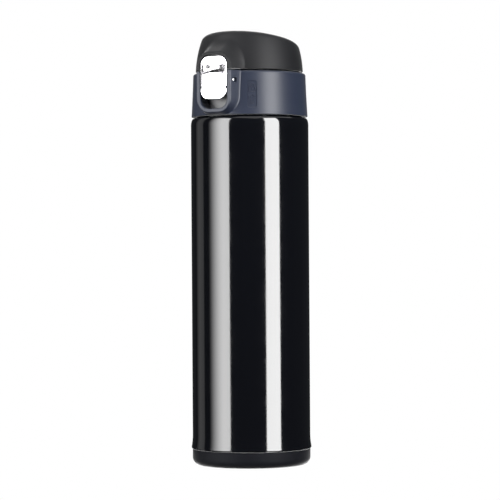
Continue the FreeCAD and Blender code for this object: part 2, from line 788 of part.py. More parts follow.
def make_thread_insert():
    body = new_body("thread_insert")
    corners = [
        ("cap_rad", "deck_low"),
        ("insert_in", "deck_low"),
        ("insert_in", "cap_deck"),
        ("skirt_in", "cap_deck"),
        ("skirt_in", "cap_low"),
        ("skirt_out", "cap_low"),
        ("skirt_out", "cap_deck"),
        ("cap_rad", "cap_deck"),
    ]
    lathe(body, "body", corners)
    thread(body, "skirt_in", "cap_crest", "thread_low + pitch / 2")
    slot = box_corners("-case_half - 0.2", "case_half + 0.2", "cap_deck - 0.5", "deck_low + 1")
    front_prism(body, "case_flat", slot, "cap_rad + 2", "case_back - 0.1", "PartDesign::Pocket")


def make_stopper_gasket():
    body = new_body("stopper_gasket")
    corners = [
        ("groove_rad + 0.1", "groove_low + 0.4"),
        ("plug_rad", "groove_low + 0.4"),
        ("seal_rad", "groove_low + 1.2"),
        ("seal_rad", "groove_high - 1.2"),
        ("plug_rad", "groove_high - 0.4"),
        ("groove_rad + 0.1", "groove_high - 0.4"),
    ]
    lathe(body, "ring", corners)


def make_mouthpiece():
    body = new_body("mouthpiece")
    corners = [
        ("spigot_in", "spigot_low"),
        ("spigot_rad", "spigot_low"),
        ("spigot_rad", "spigot_low + 2.2"),
        ("spigot_rad - 0.8", "spigot_low + 2.2"),
        ("spigot_rad - 0.8", "spigot_low + 4.2"),
        ("spigot_rad", "spigot_low + 4.2"),
        ("spigot_rad", "deck_low + 0.1"),
        ("spout_foot + 3", "deck_low + 0.1"),
        ("spout_foot + 3", "deck_low + 1.5"),
        ("spout_foot", "collar_top"),
        ("lip_out", "lip_top - 1", "(lip_out - lip_in) / 1.8"),
        ("(lip_out + lip_in) / 2", "lip_top", "(lip_out - lip_in) / 1.8"),
        ("lip_in", "lip_top - 1"),
        ("lip_in", "collar_top + 2"),
        ("spigot_in", "collar_top - 2"),
    ]
    lathe(body, "spout", corners)


def make_mouthpiece_gasket():
    body = new_body("mouthpiece_gasket")
    inner = "spigot_rad - 0.75"
    lathe(body, "ring", box_corners(inner, "hub_in", "spigot_low + 2.3", "spigot_low + 4.1"))


# ---------------------------------------------------------------- hinge and lid
def make_hinge_pin():
    body = new_body("hinge_pin")
    side_round(body, "rod", "hinge_deep", "hinge_high", "hinge_pin_rad", "-barrel_end", "barrel_end")


def make_lid_spring():
    body = new_body("lid_spring")
    sketch = new_sketch(body, "wire", "XZ_Plane", ("-coil_half + 0.65", "hinge_high", "-hinge_deep"))
    add_circle(sketch, "0", "lid_coil", "lid_wire / 2")
    coil(body, "coil", sketch, "H_Axis", "lid_wire + 0.15", "5")


def make_lid_shell():
    body = new_body("lid_shell")
    side = [
        ("lid_low_rad", "lid_low", "lid_side_curve"),
        ("lid_side_rad", "lid_side_top"),
    ]
    inner = [
        ("lid_side_rad - lid_wall", "lid_side_top", "lid_wall - lid_side_curve"),
        ("lid_low_rad - lid_wall", "lid_low"),
    ]
    lathe(body, "side", side + inner)
    top = "dome_mid + dome_rad"
    edge = "dome_mid + sqrt(dome_rad ^ 2 - dome_reach ^ 2)"
    under = "dome_rad - lid_wall"
    band = [
        ("0", top, "-dome_rad"),
        ("dome_reach", edge),
        ("dome_reach", f"dome_mid + sqrt(({under}) ^ 2 - dome_reach ^ 2)", under),
        ("0", f"dome_mid + {under}"),
    ]
    lathe(body, "dome", band, role="YZ_Plane", shift="dome_shift")
    above = [
        ("0", top, "-dome_rad"),
        ("dome_reach", edge),
        ("dome_reach", "lid_side_top + 5"),
        ("0", "lid_side_top + 5"),
    ]
    lathe(body, "dome_trim", above, "PartDesign::Groove", "YZ_Plane", "dome_shift")
    outside = side + [("body_rad * 2", "lid_side_top"), ("body_rad * 2", "lid_low")]
    lathe(body, "side_trim", outside, "PartDesign::Groove")
    centre = Vector(0, number("dome_shift"), number("dome_mid"))
    reach = number("dome_rad")

    def rim(edge):
        spots = [edge.valueAt(t) for t in (edge.FirstParameter, edge.LastParameter)]
        return edge.Length > 20 and all(abs((s - centre).Length - reach) < 0.01 for s in spots)

    round_edges(body, "rim_round", "lid_round", rim)
    boss(
        body,
        arch_outline("boss_half", "lid_low", "boss_high", "boss_turn"),
        arch_outline("boss_root", "lid_low", "boss_peak", "root_turn"),
    )
    wall = box_corners("-boss_half", "boss_half", "lid_low", "boss_high + 1")
    front_prism(body, "pocket_back", wall, "pocket_deep", "pocket_deep - lid_wall")
    window = arch_outline("window_half", "lid_low - 1", "window_high", "window_turn")
    front_prism(body, "window", window, "boss_face + 1", "pocket_deep", "PartDesign::Pocket")
    catch = box_corners("-window_half", "window_half", "lid_low + 2", "lid_low + 3.5")
    front_prism(body, "catch", catch, "pocket_deep + 2", "pocket_deep")
    notch = box_corners("boss_back", "body_rad + 2", "lid_low - 1", "lid_low + 2.6")
    side_prism(body, "hinge_notch", notch, "-barrel_end - 0.3", "barrel_end + 0.3", "PartDesign::Pocket")


def make_lid_liner():
    body = new_body("lid_liner")
    corners = [
        ("hat_in", "liner_plate"),
        ("liner_edge", "liner_plate"),
        ("liner_edge", "liner_plate_top"),
        ("hat_in + hat_wall", "liner_plate_top"),
        ("hat_in + hat_wall", "hat_ceiling + hat_wall"),
        ("0", "hat_ceiling + hat_wall"),
        ("0", "hat_ceiling"),
        ("hat_in", "hat_ceiling"),
    ]
    lathe(body, "hat", corners)
    flat = box_corners("-boss_half - 0.2", "boss_half + 0.2", "liner_plate - 1", "liner_plate_top + 1")
    near, far = "liner_edge + 1", "pocket_deep - lid_wall - 0.2"
    front_prism(body, "pocket_flat", flat, near, far, "PartDesign::Pocket")
    lug = box_corners("liner_edge - 2", "hinge_deep", "liner_plate", "hinge_high + barrel_rad")
    for name, low, high in (
        ("left", "-barrel_split + barrel_gap", "-coil_half"),
        ("right", "coil_half", "barrel_split - barrel_gap"),
    ):
        side_prism(body, f"lug_{name}", lug, low, high)
        side_round(body, f"knuckle_{name}", "hinge_deep", "hinge_high", "barrel_rad", low, high)
    side_round(
        body, "hinge_bore", "hinge_deep", "hinge_high", "hinge_run",
        "-barrel_end", "barrel_end", "PartDesign::Pocket",
    )


def make_lid_gasket():
    body = new_body("lid_gasket")
    corners = [
        ("0", "lip_top - 0.8"),
        ("lip_in - 1.5", "lip_top - 0.8"),
        ("lip_in - 1.2", "lip_top + 0.05"),
        ("cap_seal_rad", "lip_top + 0.05"),
        ("cap_seal_rad", "hat_ceiling"),
        ("0", "hat_ceiling"),
    ]
    lathe(body, "pad", corners)


make_outer_shell()
make_outer_bottom()
make_seal_bead()
make_getter()
make_copper_foil()
make_inner_liner()
make_liner_bottom()
make_base_cover()
make_collar_shell()
make_latch_housing()
make_latch_pin()
make_release_button()
make_lock_ring()
make_button_spring()
make_stopper_body()
make_thread_insert()
make_stopper_gasket()
make_mouthpiece()
make_mouthpiece_gasket()
make_hinge_pin()
make_lid_spring()
make_lid_shell()
make_lid_liner()
make_lid_gasket()
doc.recompute()

for item in doc.Objects:
    if "Invalid" in item.State or "Error" in item.State:
        raise RuntimeError(f"{item.Label} did not compute: {item.getStatusString()}")
os.makedirs("parts", exist_ok=True)
for piece in pieces:
    if piece.Shape.isNull() or not piece.Shape.isValid() or not piece.Shape.Solids:
        raise RuntimeError(f"{piece.Label} has no valid solid")
    piece.Shape.exportStep(f"parts/{piece.Label}.step")
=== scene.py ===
"""Blender scene for the one-touch vacuum flask: finished shells and materials on the CAD frame.

Outlines are written in millimetres in the row frame, as in the CAD, and become metres in mesh_object.
The latch faces -Y, the hinge is at +Y, and +Z is up.
"""
import math

import bmesh
import bpy
from mathutils import Matrix, Vector


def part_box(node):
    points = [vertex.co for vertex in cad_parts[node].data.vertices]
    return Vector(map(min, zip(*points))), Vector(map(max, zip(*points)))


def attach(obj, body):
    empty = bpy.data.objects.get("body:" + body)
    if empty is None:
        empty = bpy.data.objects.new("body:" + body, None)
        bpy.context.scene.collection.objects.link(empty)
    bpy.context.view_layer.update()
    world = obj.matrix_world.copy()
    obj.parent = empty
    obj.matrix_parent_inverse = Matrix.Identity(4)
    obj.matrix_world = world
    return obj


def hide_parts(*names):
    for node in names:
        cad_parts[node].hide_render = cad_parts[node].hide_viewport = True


MM = 0.001
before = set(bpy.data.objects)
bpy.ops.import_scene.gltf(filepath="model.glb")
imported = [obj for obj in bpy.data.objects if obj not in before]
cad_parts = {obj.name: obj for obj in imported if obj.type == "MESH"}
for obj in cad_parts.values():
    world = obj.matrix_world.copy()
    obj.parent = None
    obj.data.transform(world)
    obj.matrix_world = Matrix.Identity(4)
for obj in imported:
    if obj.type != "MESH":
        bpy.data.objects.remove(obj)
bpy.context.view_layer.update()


def low(node):
    """Lowest corner of a CAD node, in millimetres."""
    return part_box(node)[0] / MM


def high(node):
    """Highest corner of a CAD node, in millimetres."""
    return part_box(node)[1] / MM


# ---------------------------------------------------------------- sizes, in millimetres
FLARE_RAD = high("outer_shell").x
BODY_RAD = FLARE_RAD - 0.6
BASE_RAD = high("base_cover").x
BASE_TOP = high("base_cover").z
COLLAR_LOW = low("collar_shell").z
COLLAR_TOP = 219.0
COLLAR_LOW_RAD = 32.6
COLLAR_HIGH_RAD = 31.5
LID_LOW = low("lid_shell").z
BOSS_FACE = -low("collar_shell").y
PLATEAU_HALF, PLATEAU_LOW, PLATEAU_HIGH, PLATEAU_TURN = 11.3, 196.2, 229.3, 8.0
WINDOW_HALF, WINDOW_LOW, WINDOW_HIGH, WINDOW_TURN = 8.9, 198.2, 227.7, 5.5
POCKET_DEEP = 29.0
CASE_FRONT = -low("latch_housing").y
CASE_HALF = high("latch_housing").x
CASE_LOW = low("latch_housing").z
PIVOT_DEEP, PIVOT_HIGH = 32.5, 213.7
PIN_HALF = high("latch_pin").x
PIN_BORE = 1.05
HINGE_DEEP, HINGE_HIGH, BARREL_RAD = 33.1, 219.3, 2.4
KNUCKLE_IN, KNUCKLE_OUT = 6.0, 9.0
DOME_RAD, DOME_SHIFT, DOME_MID = 89.0, -12.5, 153.3
LID_LOW_RAD, LID_CURVE, LID_WALL = 30.1, 58.2, 1.8


# ---------------------------------------------------------------- mesh helpers
def mesh_object(name, points, faces):
    """An object from points in millimetres."""
    mesh = bpy.data.meshes.new(name)
    mesh.from_pydata([(x * MM, y * MM, z * MM) for x, y, z in points], [], faces)
    mesh.validate()
    made = bmesh.new()
    made.from_mesh(mesh)
    bmesh.ops.remove_doubles(made, verts=made.verts, dist=1e-6)
    bmesh.ops.recalc_face_normals(made, faces=made.faces)
    made.to_mesh(mesh)
    made.free()
    obj = bpy.data.objects.new(name, mesh)
    bpy.context.scene.collection.objects.link(obj)
    return obj


def smooth(obj, angle=35):
    """Smooth shading that keeps edges sharper than the angle, in degrees."""
    obj.data.shade_smooth()
    obj.data.set_sharp_from_angle(angle=math.radians(angle))
    return obj


def arc(centre, radius, start, end, steps):
    """Points on an arc in the (radius, height) plane, angles in degrees."""
    turns = [math.radians(start + (end - start) * n / steps) for n in range(steps + 1)]
    return [(centre[0] + radius * math.cos(t), centre[1] + radius * math.sin(t)) for t in turns]


def lathe(name, outline, segments=192):
    """A closed (radius, height) outline turned about the flask's axis."""
    points, faces = [], []
    count = len(outline)
    for n in range(segments):
        turn = 2 * math.pi * n / segments
        points += [(r * math.sin(turn), -r * math.cos(turn), z) for r, z in outline]
    for n in range(segments):
        here, there = n * count, (n + 1) % segments * count
        for k in range(count):
            after = (k + 1) % count
            faces.append((here + k, here + after, there + after, there + k))
    return mesh_object(name, points, faces)


def stack(name, rings):
    """A skin over rings of the same length, with both ends filled."""
    count = len(rings[0])
    points = [p for ring in rings for p in ring]
    faces = []
    for n in range(len(rings) - 1):
        here, there = n * count, (n + 1) * count
        for k in range(count):
            after = (k + 1) % count
            faces.append((here + k, here + after, there + after, there + k))
    faces.append(tuple(range(count)))
    faces.append(tuple(range((len(rings) - 1) * count, len(rings) * count)))
    return mesh_object(name, points, faces)


def combine(obj, tool, operation):
    """Apply a boolean and drop the tool."""
    step = obj.modifiers.new("combine", "BOOLEAN")
    step.operation = operation
    step.solver = "EXACT"
    step.object = tool
    bpy.context.view_layer.update()
    done = bpy.data.meshes.new_from_object(obj.evaluated_get(bpy.context.evaluated_depsgraph_get()))
    obj.modifiers.clear()
    obj.data = done
    bpy.data.objects.remove(tool)
    return obj


def rounded_outline(half, bottom, top, turn, steps=12):
    """A rectangle seen from the front (x, z), with its corners rounded."""
    turn_low, turn_high = turn if isinstance(turn, tuple) else (turn, turn)
    corners = [
        (half - turn_low, bottom + turn_low, turn_low, -90),
        (half - turn_high, top - turn_high, turn_high, 0),
        (turn_high - half, top - turn_high, turn_high, 90),
        (turn_low - half, bottom + turn_low, turn_low, 180),
    ]
    points = []
    for x, z, radius, start in corners:
        points += arc((x, z), radius, start, start + 90, steps)
    return points


def prism(name, outline_at, depths):
    """A loft along Y: outline_at gives the (x, z) outline for each depth."""
    return stack(name, [[(x, y, z) for x, z in outline_at(y)] for y in depths])


def rod(name, radius, x_from, x_to, y, z):
    """A cylinder along X."""
    segments = 32
    rings = []
    for x in (x_from, x_to):
        turns = [2 * math.pi * n / segments for n in range(segments)]
        rings.append([(x, y + radius * math.cos(t), z + radius * math.sin(t)) for t in turns])
    return stack(name, rings)


def block(name, lows, highs):
    """A box between two corners, for cutting."""
    (x0, y0, z0), (x1, y1, z1) = lows, highs
    rings = [[(x0, y0, z), (x1, y0, z), (x1, y1, z), (x0, y1, z)] for z in (z0, z1)]
    return stack(name, rings)


def soft_max(a, b, reach):
    """The larger value, with a rounded change-over."""
    if reach <= 0:
        return max(a, b)
    mix = min(max(0.5 + 0.5 * (a - b) / reach, 0), 1)
    return b + (a - b) * mix + reach * mix * (1 - mix)


# ---------------------------------------------------------------- the boss shared by collar and lid
def boss_depth(x, z, slopes):
    """How far in front of the axis the boss stands at (x, z). slopes are for its side and its end."""
    edge_reach = 0.9
    middle = (PLATEAU_LOW + PLATEAU_HIGH) / 2
    across = abs(x) - (PLATEAU_HALF - PLATEAU_TURN)
    up = abs(z - middle) - ((PLATEAU_HIGH - PLATEAU_LOW) / 2 - PLATEAU_TURN)
    out_x, out_z = max(across, 0), max(up, 0)
    out = math.hypot(out_x, out_z)
    distance = out + min(max(across, up), 0) - PLATEAU_TURN
    share = (out_x / out) ** 2 if out else 1
    slope = slopes[0] * share + slopes[1] * (1 - share)
    return BOSS_FACE - soft_max(slope * distance, 0, edge_reach)


def columns():
    """Directions round the axis, close together where the boss is."""
    near, fine, coarse = 32, 0.26, 2.6
    front_steps = round(2 * near / fine)
    front = [near * (2 * n / front_steps - 1) for n in range(front_steps + 1)]
    rest = 360 - 2 * near
    steps = round(rest / coarse)
    back = [near + rest * n / steps for n in range(1, steps)]
    return [math.radians(a) for a in front + back]


def with_boss(radius, turn, z, slopes, reach, inset=0):
    """The point at this radius and direction, moved out where the boss stands in front of it."""
    boss_reach = 20
    x, depth = radius * math.sin(turn), radius * math.cos(turn)
    if depth > 0 and abs(x) < boss_reach:
        depth = soft_max(boss_depth(x, z, slopes) - inset, depth, reach)
    return (x, -depth, z)


def edge_inset(height, edge, radius):
    """How far a rounded edge draws in, at a height within its radius of the edge."""
    inside = abs(height - edge)
    if inside >= radius:
        return 0
    return radius - math.sqrt(radius**2 - (radius - inside) ** 2)


def pocket_tool():
    """Cutter for the finger pocket, flared at the face so that its edge comes out rounded."""
    lip = 0.55
    turns = [math.radians(90 * n / 6) for n in range(7)]
    stations = [(POCKET_DEEP, 0)]
    stations += [(BOSS_FACE - lip + lip * math.sin(t), lip * (1 - math.cos(t))) for t in turns]
    stations.append((BOSS_FACE + 3, lip))
    rings = []
    for depth, spread in stations:
        outline = rounded_outline(
            WINDOW_HALF + spread, WINDOW_LOW - spread, WINDOW_HIGH + spread, WINDOW_TURN + spread, 16
        )
        rings.append([(x, -depth, z) for x, z in outline])
    return stack("pocket_tool", rings)


# ---------------------------------------------------------------- steel bottle
def make_body():
    """The painted outer shell, from its skirt to the ledge under the collar."""
    wall, skirt_rad, skirt_low = 0.6, 31.2, 4.4
    bead_low, bead_high, ease_length = BASE_TOP + 0.4, BASE_TOP + 1.4, 6.4
    shoulder_low, shoulder_rise, shoulder_in = 190, 4, 1.5
    bead = [(FLARE_RAD - 0.25, bead_low), (FLARE_RAD, bead_low + 0.3), (FLARE_RAD, bead_high)]
    ease = []
    for n in range(1, 13):
        part = n / 12
        drop = (FLARE_RAD - BODY_RAD) * (1 - part) ** 2
        ease.append((BODY_RAD + drop, bead_high + ease_length * part))
    shoulder = []
    for n in range(13):
        turn = math.radians(90 * n / 12)
        radius = BODY_RAD - shoulder_in * (1 - math.cos(turn))
        shoulder.append((radius, shoulder_low + shoulder_rise * math.sin(turn)))
    ledge = [(30.6, 194.25), (24.5, 194.6), (24.3, 194.0), (skirt_rad - wall, 193.6)]
    inside = [(BODY_RAD - wall, 189.5), (BODY_RAD - wall, 17), (FLARE_RAD - wall, 10.5)]
    inside += [(skirt_rad - wall, bead_low + wall), (skirt_rad - wall, skirt_low)]
    outside = [(skirt_rad, skirt_low), (skirt_rad, bead_low)] + bead + ease + shoulder
    return smooth(lathe("body_shell", outside + ledge + inside, 256), 40)


def make_neck():
    """The unpainted neck above the shoulder, with its thread."""
    foot, top, foot_rad, bore, outer = 194.0, high("outer_shell").z, 24.6, 20.1, 20.6
    outline = [(bore, foot + 2.2), (foot_rad, foot), (foot_rad, foot + 0.6)]
    outline += [(outer, foot + 2.6), (outer, top), (bore, top)]
    neck = lathe("neck_tube", outline, 128)
    turns_count, per_turn, pitch, start, fade_steps = 2.25, 96, 4.0, 200.0, 10
    root, ridge = outer - 0.15, 1.15
    steps = round(turns_count * per_turn)
    rings = []
    for n in range(steps + 1):
        turn = 2 * math.pi * n / per_turn
        z = start + pitch * n / per_turn
        fade = min(1, n / fade_steps, (steps - n) / fade_steps)
        crest = root + ridge * max(fade, 0.05)
        profile = [(root, -1.0), (crest - 0.15, -0.6), (crest, -0.4)]
        profile += [(crest, 0.4), (crest - 0.15, 0.6), (root, 1.0)]
        rings.append([(r * math.sin(turn), -r * math.cos(turn), z + up) for r, up in profile])
    combine(neck, stack("thread", rings), "UNION")
    return smooth(neck, 30)


def make_base():
    """The cup under the body, with the ring that the flask stands on."""
    wall, curve, edge = 1.65, 4.5, 0.3
    turn_rad = BASE_RAD - curve
    outside = [(0.0, 1.0), (24.7, 1.0), (25.3, 0.75), (25.8, 0.2), (26.5, 0.0)]
    outside += arc((turn_rad, curve), curve, -90, 0, 16)
    outside += arc((BASE_RAD - edge, BASE_TOP - edge), edge, 0, 90, 4)
    inside = [(BASE_RAD - wall, BASE_TOP), (BASE_RAD - wall, curve)]
    inside += arc((turn_rad, curve), curve - wall, 0, -90, 8)
    inside += [(26.5, wall), (25.5, 1.0 + wall), (0.0, 1.0 + wall)]
    return smooth(lathe("base_cup", outside + inside, 192), 40)


# ---------------------------------------------------------------- collar
def collar_radius(z):
    """Outside of the collar: a slightly hollow taper with rounded edges."""
    share = (z - COLLAR_LOW) / (COLLAR_TOP - COLLAR_LOW)
    radius = COLLAR_LOW_RAD + (COLLAR_HIGH_RAD - COLLAR_LOW_RAD) * share - 0.4 * share * (1 - share)
    return radius - edge_inset(z, COLLAR_TOP, 1.2) - edge_inset(z, COLLAR_LOW, 0.35)


def collar_rows():
    """Heights from the lower to the top edge, closer together at the edges."""
    count = 110
    even = [COLLAR_LOW + (COLLAR_TOP - COLLAR_LOW) * n / count for n in range(count + 1)]
    lips = [COLLAR_LOW + 0.04, COLLAR_LOW + 0.1, COLLAR_TOP - 0.04, COLLAR_TOP - 0.1]
    return sorted(even + lips)


def panel_point(across, up, out):
    """A point given in the leaning plane of the icon panel, out from its floor."""
    turn, lean, floor, middle = math.radians(36.7), math.radians(1.7), 31.5, 206.0
    reach = floor + out * math.cos(lean) - up * math.sin(lean)
    side = Vector((math.cos(turn), math.sin(turn), 0)) * across
    outward = Vector((math.sin(turn), -math.cos(turn), 0)) * reach
    return side + outward + Vector((0, 0, middle + up * math.cos(lean) + out * math.sin(lean)))


def panel_prism(name, outlines):
    """A loft of outlines, each (points, out) on the icon panel."""
    return stack(name, [[tuple(panel_point(a, u, out)) for a, u in points] for points, out in outlines])


def line_icon(name, path, width=0.42, closed=True):
    """A raised line along a path on the panel floor, flat-topped with sloping sides."""
    count = len(path)
    points, faces = [], []
    for n in range(count):
        before = Vector(path[n - 1] if closed or n else path[n])
        after = Vector(path[(n + 1) % count] if closed or n < count - 1 else path[n])
        here = Vector(path[n])
        first = (here - before).normalized() if (here - before).length else (after - here).normalized()
        second = (after - here).normalized() if (after - here).length else first
        across = Vector((-(first + second).y, (first + second).x)).normalized()
        stretch = 1 / max(across.dot(Vector((-second.y, second.x))), 0.5)
        for offset, out in ((-0.5, -0.1), (-0.36, 0.3), (0.36, 0.3), (0.5, -0.1)):
            spot = here + across * offset * width * stretch
            points.append(tuple(panel_point(spot.x, spot.y, out)))
    for n in range(count if closed else count - 1):
        here, there = n * 4, (n + 1) % count * 4
        for k in range(4):
            after = (k + 1) % 4
            faces.append((here + k, here + after, there + after, there + k))
    if not closed:
        faces += [(0, 1, 2, 3), tuple(range(count * 4 - 4, count * 4))]
    return mesh_object(name, points, faces)


def make_icons():
    """A padlock over an arrow that points up, as raised lines."""
    case = rounded_outline(1.65, 1.4, 3.9, 0.3, 3)
    shackle = [(1.05, 3.9)] + arc((0, 4.7), 1.05, 0, 180, 10) + [(-1.05, 3.9)]
    stem = [(0.75, -2.1), (0.75, -5.2), (-0.75, -5.2), (-0.75, -2.1)]
    head = [(1.75, -1.9), (0, -0.2), (-1.75, -1.9)]
    key = [(0, 2.3), (0, 3.0)]
    icons = [
        line_icon("icon_padlock", case),
        line_icon("icon_shackle", shackle, closed=False),
        line_icon("icon_key", key, 0.5, closed=False),
        line_icon("icon_stem", stem, closed=False),
        line_icon("icon_head", head, closed=False),
    ]
    return [smooth(icon, 30) for icon in icons]


def make_collar():
    """The collar with its boss, finger pocket, pin holes, icon recess, deck and the notch between its
    hinge knuckles.
    """
    slopes, reach = (3.37, 2.3), 1.1
    rings = []
    for z in collar_rows():
        radius = collar_radius(z)
        inset = edge_inset(z, COLLAR_TOP, 0.3) + edge_inset(z, COLLAR_LOW, 0.3)
        rings.append([with_boss(radius, turn, z, slopes, reach, inset) for turn in columns()])
    collar = stack("collar", rings)
    bore, deck_bore, deck_low, deck_high, play = 29.8, 24.0, 216.2, 218.0, 0.1
    inside = [(0.0, COLLAR_LOW - 1), (bore, COLLAR_LOW - 1), (bore, deck_low), (deck_bore, deck_low)]
    inside += [(deck_bore, deck_high), (bore, deck_high), (bore, COLLAR_TOP + 1), (0.0, COLLAR_TOP + 1)]
    keep = prism("keep", lambda y: rounded_outline(13.4, 190, 230, 9.0, 8), (-40, -27))
    combine(keep, block("trim", (-20, -45, COLLAR_LOW - 5), (20, -20, COLLAR_LOW)), "DIFFERENCE")
    hollow = combine(lathe("hollow", inside, 128), keep, "DIFFERENCE")
    combine(collar, hollow, "DIFFERENCE")
    slot = rounded_outline(CASE_HALF + play, CASE_LOW - play, COLLAR_TOP + 9, 6.7, 12)
    combine(collar, prism("slot", lambda y: slot, (-CASE_FRONT - play, -20)), "DIFFERENCE")
    combine(collar, pocket_tool(), "DIFFERENCE")
    recess_half, recess_reach, recess_turn = 2.6, 7.25, 1.0
    recess = []
    for out, grow in ((0.0, -0.1), (0.12, 0.0), (0.3, 0.0), (0.6, 0.12), (3.0, 0.9)):
        reach = recess_reach + grow
        recess.append((rounded_outline(recess_half + grow, -reach, reach, recess_turn + grow, 8), out))
    combine(collar, panel_prism("recess", recess), "DIFFERENCE")
    for side in (-1, 1):
        bore = rod("bore", 1.7, side * (PIN_HALF - 0.5), side * 20, -PIVOT_DEEP, PIVOT_HIGH)
        combine(collar, bore, "DIFFERENCE")
    notch_deep = HINGE_DEEP - BARREL_RAD - 0.4
    notch = block("notch", (-KNUCKLE_IN, notch_deep, deck_low), (KNUCKLE_IN, 45, COLLAR_TOP + 1))
    combine(collar, notch, "DIFFERENCE")
    return smooth(collar, 32)


def make_knuckles():
    """The collar's two hinge knuckles with rounded ends, each on a web to the collar."""
    edge, segments, web_reach = 0.25, 48, 3.4
    ends = ((0.0, edge), (edge * 0.3, edge * 0.3), (edge, 0.0))
    made = None
    for start, end in ((-KNUCKLE_OUT, -KNUCKLE_IN), (KNUCKLE_IN, KNUCKLE_OUT)):
        stations = [(start + along, BARREL_RAD - inset) for along, inset in ends]
        stations += [(end - along, BARREL_RAD - inset) for along, inset in reversed(ends)]
        rings = []
        for x, radius in stations:
            ring = []
            for n in range(segments):
                t = 2 * math.pi * n / segments
                ring.append((x, HINGE_DEEP + radius * math.cos(t), HINGE_HIGH + radius * math.sin(t)))
            rings.append(ring)
        knuckle = stack("collar_knuckles", rings)
        web_low = (start + 0.02, HINGE_DEEP - web_reach, HINGE_HIGH - BARREL_RAD)
        web = block("web", web_low, (end - 0.02, HINGE_DEEP, HINGE_HIGH + 0.02))
        combine(knuckle, web, "UNION")
        made = combine(made, knuckle, "UNION") if made else knuckle
    return smooth(made, 40)


# ---------------------------------------------------------------- lid
def lid_meridian(turn, offset=0.0, fillet=4.0):
    """Base outline of the lid in one direction: side, rounded rim and dome, as (radius, height)."""
    curve = LID_CURVE - offset
    centre_r, centre_z = LID_LOW_RAD - LID_CURVE * math.cos(math.radians(1.7)), LID_LOW - 1.727
    ball = DOME_RAD - offset

    def side_radius(z):
        return centre_r + math.sqrt(curve**2 - (z - centre_z) ** 2)

    def dome_height(radius):
        x, y = radius * math.sin(turn), -radius * math.cos(turn)
        return DOME_MID + math.sqrt(ball**2 - x**2 - (y - DOME_SHIFT) ** 2)

    low_z, high_z = LID_LOW, 245.0
    for step in range(40):
        middle = (low_z + high_z) / 2
        if dome_height(side_radius(middle)) > middle:
            low_z = middle
        else:
            high_z = middle
    corner = Vector((side_radius(low_z), low_z))
    back = (Vector((side_radius(low_z - 0.01), low_z - 0.01)) - corner).normalized()
    inward = (Vector((corner.x - 0.01, dome_height(corner.x - 0.01))) - corner).normalized()
    bend = math.pi - back.angle(inward)
    length = fillet * math.tan(bend / 2)
    start = corner + back * length
    start.x = side_radius(start.y)
    end = corner + inward * length
    end.y = dome_height(end.x)
    weight = math.cos(bend / 2)
    rim = []
    for n in range(1, 12):
        t = n / 12
        shares = ((1 - t) ** 2, 2 * t * (1 - t) * weight, t * t)
        spot = (start * shares[0] + corner * shares[1] + end * shares[2]) / sum(shares)
        rim.append((spot.x, spot.y))
    side_rows, dome_rows = 84, 26
    side = []
    for n in range(side_rows + 1):
        z = LID_LOW + (start.y - LID_LOW) * n / side_rows
        side.append((side_radius(z) - (edge_inset(z, LID_LOW, 0.4) if not offset else 0), z))
    reaches = [end.x * (1 - n / dome_rows) for n in range(dome_rows)] + [0.05]
    dome = [(reach, dome_height(reach)) for reach in reaches]
    return side + rim + dome


def lid_solid(name, offset=0.0, fillet=4.0, boss=True, sink=0.0):
    """A closed lid-shaped solid. offset makes it smaller all round and sink carries it lower."""
    slopes, reach, boss_top = (3.37, 1.45), 3.2, 238
    turns = columns()
    profiles = [lid_meridian(turn, offset, fillet) for turn in turns]
    rings = []
    if sink:
        radii = [profile[0][0] for profile in profiles]
        rings.append([(r * math.sin(t), -r * math.cos(t), LID_LOW - sink) for r, t in zip(radii, turns)])
    for row in range(len(profiles[0])):
        ring = []
        for profile, turn in zip(profiles, turns):
            radius, z = profile[row]
            if boss and z < boss_top:
                ring.append(with_boss(radius, turn, z, slopes, reach, edge_inset(z, LID_LOW, 0.3)))
            else:
                ring.append((radius * math.sin(turn), -radius * math.cos(turn), z))
        rings.append(ring)
    return stack(name, rings)


def make_lid():
    """The lid shell with its arch, finger pocket and rear notch."""
    lid = lid_solid("lid")
    hollow = lid_solid("hollow", LID_WALL, 2.2, boss=False, sink=1.0)
    combine(lid, hollow, "DIFFERENCE")
    combine(lid, pocket_tool(), "DIFFERENCE")
    notch_half = KNUCKLE_OUT + 0.3
    notch = block("notch", (-notch_half, 27, LID_LOW - 1), (notch_half, 45, LID_LOW + 2.6))
    combine(lid, notch, "DIFFERENCE")
    return smooth(lid, 32)


